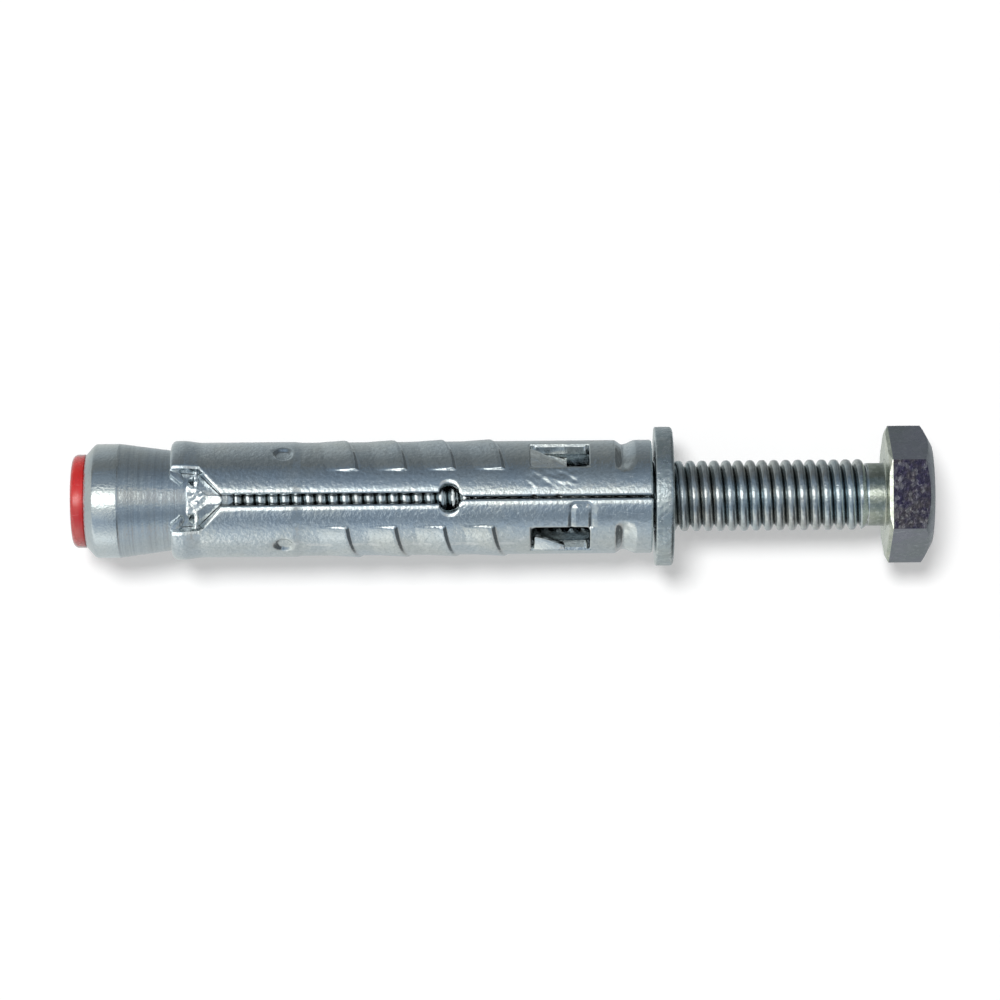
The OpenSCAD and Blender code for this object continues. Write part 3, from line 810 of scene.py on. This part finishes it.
# %% Plating group
plating, given, result = node_group(
    "zinc_plating",
    [("Cool Tint", "colour", (0.6, 0.65, 0.7, 1)), ("Warm Tint", "colour", (0.65, 0.66, 0.6, 1)),
     ("Patch Scale", "value", 180), ("Crystal Scale", "value", 5000), ("Sparkle", "value", 0.3),
     ("Smoothest", "value", 0.15), ("Dullest", "value", 0.3)],
    [("Color", "colour"), ("Roughness", "value"), ("Height", "value")])
point = place_of(plating)
patches = noisy(plating, point, given["Patch Scale"], Detail=4.0, Roughness=0.6)
tint = mixed(plating, fade(plating, patches, 0.35, 0.65), given["Cool Tint"], given["Warm Tint"])
crystals = put(plating, "ShaderNodeTexVoronoi", {"feature": "F1"}, Vector=point, Scale=given["Crystal Scale"])
glint = put(plating, "ShaderNodeSeparateColor", Color=crystals.outputs["Color"]).outputs[0]
bright = times(plating, fade(plating, glint, 0.55, 1.0), given["Sparkle"])
dark = times(plating, fade(plating, glint, 0.45, 0.0), times(plating, given["Sparkle"], 0.8))
lighter = mixed(plating, bright, tint, (1, 1, 1, 1))
plating.links.new(mixed(plating, dark, lighter, (0.12, 0.13, 0.15, 1)), result["Color"])
dulling = noisy(plating, point, times(plating, given["Patch Scale"], 4.0), Detail=6.0)
rough = put(plating, "ShaderNodeMapRange", Value=dulling, From_Min=0.3, From_Max=0.7,
            To_Min=given["Smoothest"], To_Max=given["Dullest"]).outputs["Result"]
plating.links.new(reckon(plating, "SUBTRACT", rough, times(plating, bright, 0.25)), result["Roughness"])
grain = noisy(plating, point, times(plating, given["Crystal Scale"], 0.8), Detail=2.0)
height = reckon(plating, "ADD", times(plating, grain, 5.0), times(plating, glint, 0.4))
plating.links.new(height, result["Height"])
print(plating.name, "has", len(plating.nodes), "nodes")

# %% [markdown]
# ### Turning rings and handling marks
# Rings from the lathe tool are a noise that changes only along Z, and they end where the
# nut is burnished. Handling marks are a stretched noise cut at a high level, which leaves a
# few short dashes: parts like this are tumbled and packed loose, so they touch each other.

# %% Rings and marks groups
turning, given, result = node_group(
    "turning_rings",
    [("Ring Scale", "value", 3000), ("Contrast", "value", 1.0), ("Burnished Above", "value", 1.0)],
    [("Mask", "value"), ("Height", "value")])
along = place_of(turning, (0.01, 0.01, 1))
ring = noisy(turning, along, given["Ring Scale"], Detail=3.0, Roughness=0.7)
up = put(turning, "ShaderNodeSeparateXYZ", Vector=place_of(turning)).outputs[2]
tooled = fade(turning, reckon(turning, "SUBTRACT", up, given["Burnished Above"]), 0.0, 0.00005, 1.0, 0.0)
strength = times(turning, tooled, given["Contrast"])
turning.links.new(times(turning, fade(turning, ring, 0.4, 0.62), strength), result["Mask"])
turning.links.new(times(turning, ring, strength), result["Height"])

marks, given, result = node_group(
    "handling_marks", [("Mark Scale", "value", 2200), ("Level", "value", 0.66)],
    [("Mask", "value"), ("Height", "value")])
across = place_of(marks, (1, 1, 0.25))
dash = noisy(marks, across, given["Mark Scale"], Detail=2.0, Distortion=1.5)
scuffs = fade(marks, dash, given["Level"], reckon(marks, "ADD", given["Level"], 0.06))
marks.links.new(scuffs, result["Mask"])
marks.links.new(times(marks, scuffs, -1.0), result["Height"])
print(turning.name, "has", len(turning.nodes), "nodes and", marks.name, len(marks.nodes))

# %% [markdown]
# ### Worn edges and painted crease shade
# Plating rubs bright on outer corners, and inner corners get a painted shade, darkened as if
# shade fell in them. Pointiness tells the two apart, and a noise breaks the worn line up.

# %% Wear group
wear_and_crease_shade, given, result = node_group(
    "edge_wear_and_crease_shade", [("Start", "value", 0.52), ("End", "value", 0.6), ("Break Up", "value", 1500)],
    [("Worn", "value"), ("Crease Shade", "value")])
pointed = put(wear_and_crease_shade, "ShaderNodeNewGeometry").outputs["Pointiness"]
breaks = fade(wear_and_crease_shade, noisy(wear_and_crease_shade, place_of(wear_and_crease_shade), given["Break Up"], Detail=3.0), 0.35, 0.55)
worn = times(wear_and_crease_shade, fade(wear_and_crease_shade, pointed, given["Start"], given["End"]), breaks)
wear_and_crease_shade.links.new(worn, result["Worn"])
# Painted shade: inner corners, found by their pointiness, are darkened as if shade fell in them.
wear_and_crease_shade.links.new(fade(wear_and_crease_shade, pointed, 0.49, 0.43), result["Crease Shade"])
print("node groups:", [g.name for g in bpy.data.node_groups])


# %% [markdown]
# ## The finishes
# Each steel finish is one material: a metallic shader that takes its colour and roughness
# from the plating, worn bright on outer corners and darkened in inner corners as a painted
# shade, with a bump from the crystals, the marks and, on turned pieces, the rings.
# The bolt has five of them on one mesh, each given to its faces by height and direction: the
# cut thread, the yellowish neck, the rougher face under the head, the head, and the one flat
# that faces the camera, given a near-black violet colour as a painted dark reflection.
# On the head's few large faces the edge wear is left off, because Pointiness is known only
# at the corners of a face and would fade across the whole of it.

# %% Steel finish
# The colour of the painted shade in inner corners and creases.
PAINTED_CREASE_SHADE = (0.05, 0.06, 0.055, 1)
BARE_STEEL = (0.86, 0.88, 0.88, 1)
SCUFF = (0.82, 0.84, 0.86, 1)
TOOL_RING = (0.3, 0.33, 0.37, 1)


def steel(name, cool, warm, patch=180, crystal=5000, sparkle=0.3, smoothest=0.22, dullest=0.4,
          bump=0.4, rings=0.0, worn=(0.52, 0.62), marks_level=0.67):
    """A plated steel material."""
    made = bpy.data.materials.new(name)
    made.use_nodes = True
    tree = made.node_tree
    shader = tree.nodes["Principled BSDF"]
    shader.inputs["Metallic"].default_value = 1.0

    def group(source, **sockets):
        return put(tree, "ShaderNodeGroup", {"node_tree": source}, **sockets).outputs

    skin = group(plating, Cool_Tint=(*cool, 1), Warm_Tint=(*warm, 1), Patch_Scale=patch,
                 Crystal_Scale=crystal, Sparkle=sparkle, Smoothest=smoothest, Dullest=dullest)
    worn_and_shaded = group(wear_and_crease_shade, Start=worn[0], End=worn[1])
    scuffed = group(marks, Level=marks_level)
    # Painted shade: creases darken towards this colour, by the pointiness mask.
    colour = mixed(tree, times(tree, worn_and_shaded["Crease Shade"], 0.8), skin["Color"], PAINTED_CREASE_SHADE)
    colour = mixed(tree, times(tree, worn_and_shaded["Worn"], 0.7), colour, BARE_STEEL)
    colour = mixed(tree, times(tree, scuffed["Mask"], 0.2), colour, SCUFF)
    height = skin["Height"]
    if rings:
        lathe = group(turning, Contrast=rings, Burnished_Above=BAND_Z * MM)
        colour = mixed(tree, times(tree, lathe["Mask"], 0.35), colour, TOOL_RING)
        height = reckon(tree, "ADD", height, times(tree, lathe["Height"], 4.0))
    height = reckon(tree, "ADD", height, scuffed["Height"])
    tree.links.new(colour, shader.inputs["Base Color"])
    tree.links.new(skin["Roughness"], shader.inputs["Roughness"])
    relief = put(tree, "ShaderNodeBump", Strength=bump, Distance=0.02 * MM, Height=height)
    tree.links.new(relief.outputs[0], shader.inputs["Normal"])
    return made


def wear_finish(target, *materials):
    """Gives an object its finishes, in the order of its faces' material numbers."""
    target.data.materials.clear()
    for m in materials:
        target.data.materials.append(m)


# %% [markdown]
# Each finish has a cool and a warm tint, as linear colours, and its own roughness, crystals
# and bump. Freshly torn steel, on the lug and the leaves, is the brightest.

# %% Steel finishes
NEVER_WORN = (2, 3)
sleeve_steel = steel("sleeve_steel", (0.64, 0.7, 0.74), (0.7, 0.73, 0.72), crystal=4000, sparkle=0.12,
                     smoothest=0.12, dullest=0.19, bump=0.24)
nut_steel = steel("nut_steel", (0.64, 0.7, 0.74), (0.69, 0.72, 0.71), crystal=6000, sparkle=0.06,
                  smoothest=0.12, dullest=0.18, bump=0.2, rings=0.7)
lug_steel = steel("lug_steel", (0.92, 0.96, 0.97), (0.95, 0.97, 0.94), crystal=2500, sparkle=0.15,
                  smoothest=0.16, dullest=0.3, bump=0.4)
washer_steel = steel("washer_steel", (0.5, 0.57, 0.6), (0.6, 0.64, 0.62), crystal=3500, sparkle=0.2,
                     smoothest=0.24, dullest=0.34, bump=0.45)
bolt_steel = steel("bolt_steel", (0.5, 0.57, 0.6), (0.54, 0.54, 0.52), crystal=3500, sparkle=0.12,
                   smoothest=0.16, dullest=0.24, bump=0.25)
neck_steel = steel("neck_steel", (0.33, 0.36, 0.31), (0.29, 0.31, 0.26), crystal=3500, sparkle=0.12,
                   smoothest=0.2, dullest=0.3, bump=0.3)
bearing_steel = steel("bearing_steel", (0.6, 0.64, 0.55), (0.7, 0.71, 0.6), patch=450, crystal=2500,
                      sparkle=0.22, smoothest=0.24, dullest=0.34, bump=0.6, worn=NEVER_WORN)
head_steel = steel("head_steel", (0.29, 0.31, 0.32), (0.32, 0.32, 0.37), patch=250, crystal=4000,
                   sparkle=0.06, smoothest=0.24, dullest=0.32, bump=0.12, worn=NEVER_WORN)
# Painted reflection: the head's flat that faces the camera gets a near-black violet colour, standing in for
# the dark reflection it shows.
painted_reflection_steel = steel("painted_reflection_steel", (0.042, 0.037, 0.075), (0.08, 0.072, 0.08), patch=900, crystal=3500,
                      sparkle=0.12, smoothest=0.2, dullest=0.3, bump=0.4, worn=NEVER_WORN, marks_level=0.72)

# %% Finishes on their pieces
wear_finish(sleeve, sleeve_steel)
for name in ("claw_right", "claw_left"):
    wear_finish(bpy.data.objects[name], sleeve_steel)
for name in ("leaf_left", "leaf_right", "locking_lug"):
    wear_finish(bpy.data.objects[name], lug_steel)
wear_finish(nut, nut_steel)
wear_finish(washer, washer_steel)
wear_finish(bolt, bolt_steel, head_steel, neck_steel, bearing_steel, painted_reflection_steel)
# The flat facing the camera, towards -Y, takes the painted dark reflection.
THREAD, HEAD, NECK, BEARING, PAINTED_REFLECTION_FLAT = range(5)
for face in bolt.data.polygons:
    high = face.center.z / MM
    if high > THREAD_START + 0.05:
        face.material_index = THREAD
    elif high > HEAD_H + 0.1:
        face.material_index = NECK
    elif high > HEAD_H - 0.35 and face.normal.z > 0.12:
        face.material_index = BEARING
    else:
        face.material_index = PAINTED_REFLECTION_FLAT if face.normal.y < -0.97 else HEAD
print("finishes:", [m.name for m in bpy.data.materials])

# %% [markdown]
# ### Red plastic
# The cap is softly glossy polyethylene: light goes a little way in, and the surface has the
# fine orange peel of a mould, with a few paler scuffs.

# %% Cap finish
red = bpy.data.materials.new("cap_plastic")
red.use_nodes = True
tree = red.node_tree
shader = tree.nodes["Principled BSDF"]
point = place_of(tree)
cloud = noisy(tree, point, 350.0, Detail=3.0)
peel = noisy(tree, point, 6000.0, Detail=2.0)
colour = mixed(tree, fade(tree, cloud, 0.35, 0.65), (0.52, 0.008, 0.006, 1), (0.6, 0.016, 0.012, 1))
scuff = put(tree, "ShaderNodeGroup", {"node_tree": marks})
colour = mixed(tree, times(tree, scuff.outputs["Mask"], 0.15), colour, (0.85, 0.3, 0.28, 1))
tree.links.new(colour, shader.inputs["Base Color"])
tree.links.new(fade(tree, cloud, 0.3, 0.7, 0.2, 0.32), shader.inputs["Roughness"])
relief = put(tree, "ShaderNodeBump", Strength=0.3, Distance=0.01 * MM, Height=peel)
tree.links.new(relief.outputs[0], shader.inputs["Normal"])
shader.inputs["Specular IOR Level"].default_value = 0.6
shader.inputs["Coat Weight"].default_value = 1.0
shader.inputs["Coat Roughness"].default_value = 0.12
shader.inputs["Coat IOR"].default_value = 1.7
shader.inputs["Subsurface Weight"].default_value = 0.1
shader.inputs["Subsurface Radius"].default_value = (1.0, 0.2, 0.1)
shader.inputs["Subsurface Scale"].default_value = 0.5 * MM
wear_finish(cap, red)
print(red.name, "has", len(tree.nodes), "nodes")

# %% [markdown]
# ## The table, the floor and the light
# The anchor in the photograph lies on a white table and throws a short soft shadow. Here
# the table is a white board that stands just behind the anchor, seen only from the front,
# and a floor carries the bolt's head. Both keep the shadows. The floor fades out into the
# white around it, so that its edge cuts no line through the picture.

# %% Board and floor
def white_stage(name, size, place, turned_to, lift, fade_from=None, fade_to=None):
    """A white sheet that keeps shadows. lift is the share of plain white in what the camera sees.

    It clears when it is seen edge-on, and with fade values away from its middle too.
    """
    bm = bmesh.new()
    bmesh.ops.create_grid(bm, x_segments=1, y_segments=1, size=size / 2)
    mesh = bpy.data.meshes.new(name)
    bm.to_mesh(mesh)
    bm.free()
    made = bpy.data.objects.new(name, mesh)
    made.location = place
    made.rotation_euler = turned_to
    scene.collection.objects.link(made)
    made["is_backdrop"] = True
    made.visible_glossy = False
    paint = bpy.data.materials.new(name)
    paint.use_nodes = True
    tree = paint.node_tree
    tree.nodes.remove(tree.nodes["Principled BSDF"])
    matt = put(tree, "ShaderNodeBsdfDiffuse", Color=(1, 1, 1, 1)).outputs[0]
    glow = put(tree, "ShaderNodeEmission", Color=(1, 1, 1, 1), Strength=1.0).outputs[0]
    clear = put(tree, "ShaderNodeBsdfTransparent").outputs[0]
    seen = put(tree, "ShaderNodeLightPath").outputs["Is Camera Ray"]
    lifted = put(tree, "ShaderNodeMixShader", i0=times(tree, seen, lift), i1=matt, i2=glow).outputs[0]
    hidden = put(tree, "ShaderNodeNewGeometry").outputs["Backfacing"]
    facing = put(tree, "ShaderNodeLayerWeight", Blend=0.5).outputs["Facing"]
    hidden = reckon(tree, "MAXIMUM", hidden, fade(tree, facing, 0.83, 0.88))
    if fade_to:
        reach = put(tree, "ShaderNodeVectorMath", {"operation": "LENGTH"}, i0=place_of(tree))
        hidden = reckon(tree, "MAXIMUM", hidden, fade(tree, reach.outputs["Value"], fade_from, fade_to))
    whole = put(tree, "ShaderNodeMixShader", i0=hidden, i1=lifted, i2=clear).outputs[0]
    tree.links.new(whole, tree.nodes["Material Output"].inputs["Surface"])
    wear_finish(made, paint)


BEHIND = 5.9 * MM
UPRIGHT = (math.radians(90), 0, 0)
white_stage("board", 1.2, (0, BEHIND, HALF_WAY_UP), UPRIGHT, lift=0.34)
white_stage("floor", 0.06, (0, 0, 0), (0, 0, 0), lift=0.0, fade_from=5 * MM, fade_to=8.5 * MM)
print("board", round(BEHIND / MM, 1), "mm behind the anchor's axis")

# %% [markdown]
# Polished steel shows its surroundings more than itself, so the world is a small studio: a
# narrow bright lamp just above the camera, a dim room around it, the light table on the
# lower side, and a darker stretch on the upper side. It has three stretches: a bright one
# seen in the nut, one seen in the sleeve and the thread, and one without the lamp seen in
# the flats of the head. Further towards the head's end it is dark at the sides, which draws
# the steep edges of the teeth. Its colours depend on the direction only. The camera sees
# plain white, and matt surfaces get one even light.

# %% World
world = bpy.data.worlds.new("studio")
scene.world = world
world.use_nodes = True
tree = world.node_tree
for node in list(tree.nodes):
    tree.nodes.remove(node)
ray = put(tree, "ShaderNodeTexCoord").outputs["Generated"]
parts = put(tree, "ShaderNodeSeparateXYZ", Vector=ray).outputs
heading = reckon(tree, "ARCTAN2", parts[0], times(tree, parts[1], -1.0))
aside = reckon(tree, "MINIMUM", reckon(tree, "MAXIMUM", parts[2], -0.12), 0.12)
heading = reckon(tree, "ADD", heading, times(tree, aside, 0.9))
around = reckon(tree, "ADD", reckon(tree, "DIVIDE", heading, math.tau), 0.5)


def surroundings(stops):
    """A ramp all the way round the anchor, of degrees from the camera and brightness.

    Middle tones lean to blue near the camera, and to green on the upper side.
    """
    node = put(tree, "ShaderNodeValToRGB", Fac=around)
    elements = node.color_ramp.elements
    elements[0].position, elements[1].position = 0.0, 1.0
    for degrees, _ in stops[1:-1]:
        elements.new(degrees / 360 + 0.5)
    for stop, (degrees, level) in zip(elements, stops):
        cool = smooth((0.5 - abs(level - 0.3)) * 2.2) * (1 if abs(degrees) < 75 else 0.25)
        green = 0.06 if degrees > 70 else 0.02
        tint = (0.98 - 0.14 * cool, 1.02 + green * cool, 1 + 0.26 * cool)
        stop.color = [level * t for t in tint] + [1]
    return node.outputs["Color"]


middle = surroundings([
    (-180, 0.53), (-150, 0.54), (-125, 0.56), (-106, 0.57), (-66, 0.56), (-57, 0.42), (-46, 0.27),
    (-36, 0.26), (-25, 0.32), (-15, 0.46), (-6, 0.7), (1, 1.1), (5, 1.35), (12, 1.3), (16, 0.8),
    (20, 0.46), (26, 0.36), (34, 0.31), (42, 0.25), (51, 0.185), (63, 0.155), (75, 0.15), (88, 0.18),
    (103, 0.24), (122, 0.32), (148, 0.44), (180, 0.53)])
cap_end = surroundings([
    (-180, 0.68), (-150, 0.68), (-120, 0.66), (-95, 0.74), (-80, 1.0), (-68, 0.9), (-60, 0.66),
    (-50, 0.6), (-38, 0.4), (-27, 0.58), (-16, 0.66), (-8, 0.75), (-2, 1.6), (3, 2.2), (6, 3.6),
    (14, 3.6), (18, 2.0), (25, 1.1), (32, 0.6), (42, 0.28), (53, 0.3), (64, 0.23), (76, 0.2),
    (90, 0.21), (105, 0.32), (123, 0.43), (150, 0.55), (180, 0.68)])
head_end = surroundings([
    (-180, 0.5), (-107, 0.47), (-70, 0.45), (-35, 0.3), (0, 0.22), (30, 0.22), (60, 0.25),
    (133, 0.24), (180, 0.5)])
below = surroundings([
    (-180, 0.5), (-150, 0.34), (-125, 0.12), (-55, 0.1), (-32, 0.3), (0, 0.55), (32, 0.3), (55, 0.1),
    (125, 0.12), (150, 0.34), (180, 0.5)])
studio = mixed(tree, fade(tree, parts[2], 0.045, 0.095), middle, cap_end)
past_flats = fade(tree, parts[2], -0.115, -0.14)
at_head = reckon(tree, "SUBTRACT", fade(tree, parts[2], -0.075, -0.088), past_flats)
studio = mixed(tree, at_head, studio, head_end)
towards_cap = fade(tree, parts[2], 0.75, 0.98)
towards_head = fade(tree, parts[2], -0.2, -0.42)
steep = reckon(tree, "MAXIMUM", towards_cap, towards_head)
overhead = mixed(tree, towards_head, (0.56, 0.59, 0.59, 1), below)
at_most = put(tree, "ShaderNodeMapRange", Value=parts[2], From_Min=-0.18, From_Max=-0.1,
              To_Min=0.5, To_Max=2.5).outputs["Result"]
studio = mixed(tree, 1.0, studio, at_most, "DARKEN")
mirrored = mixed(tree, steep, studio, overhead)
path = put(tree, "ShaderNodeLightPath").outputs
mirror = reckon(tree, "MAXIMUM", path["Is Glossy Ray"], path["Is Transmission Ray"])
seen = mixed(tree, mirror, (0.3, 0.3, 0.3, 1), mirrored)
seen = mixed(tree, path["Is Camera Ray"], seen, (1, 1, 1, 1))
sky = put(tree, "ShaderNodeBackground", Color=seen, Strength=1.0)
tree.links.new(sky.outputs[0], put(tree, "ShaderNodeOutputWorld").inputs["Surface"])
print("the studio has", len(tree.nodes), "nodes")

# %% [markdown]
# One large soft lamp stands to the upper left of the camera, as the short shadow to the
# lower right says. It lights matt surfaces and throws the shadow, while the metal's
# highlights come from the studio around.

# %% Lamp
lamp_data = bpy.data.lights.new("key_lamp", "SUN")
lamp_data.energy = 2.5
lamp_data.angle = math.radians(16)
lamp = bpy.data.objects.new("key_lamp", lamp_data)
lamp.rotation_euler = Vector((0.26, -1, 0.18)).to_track_quat("Z", "Y").to_euler()
scene.collection.objects.link(lamp)
lamp.visible_glossy = False
scene.view_settings.view_transform = "Standard"
print("lamp of strength", lamp_data.energy)

# %% Measure and finish
bpy.context.view_layer.update()
seen_low, seen_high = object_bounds()
boxes = {"cad": [list(cad_low), list(cad_high)], "visual": [list(seen_low), list(seen_high)]}
for name, box in boxes.items():
    print(name, "box in mm:", [[round(x / MM, 2) for x in corner] for corner in box])
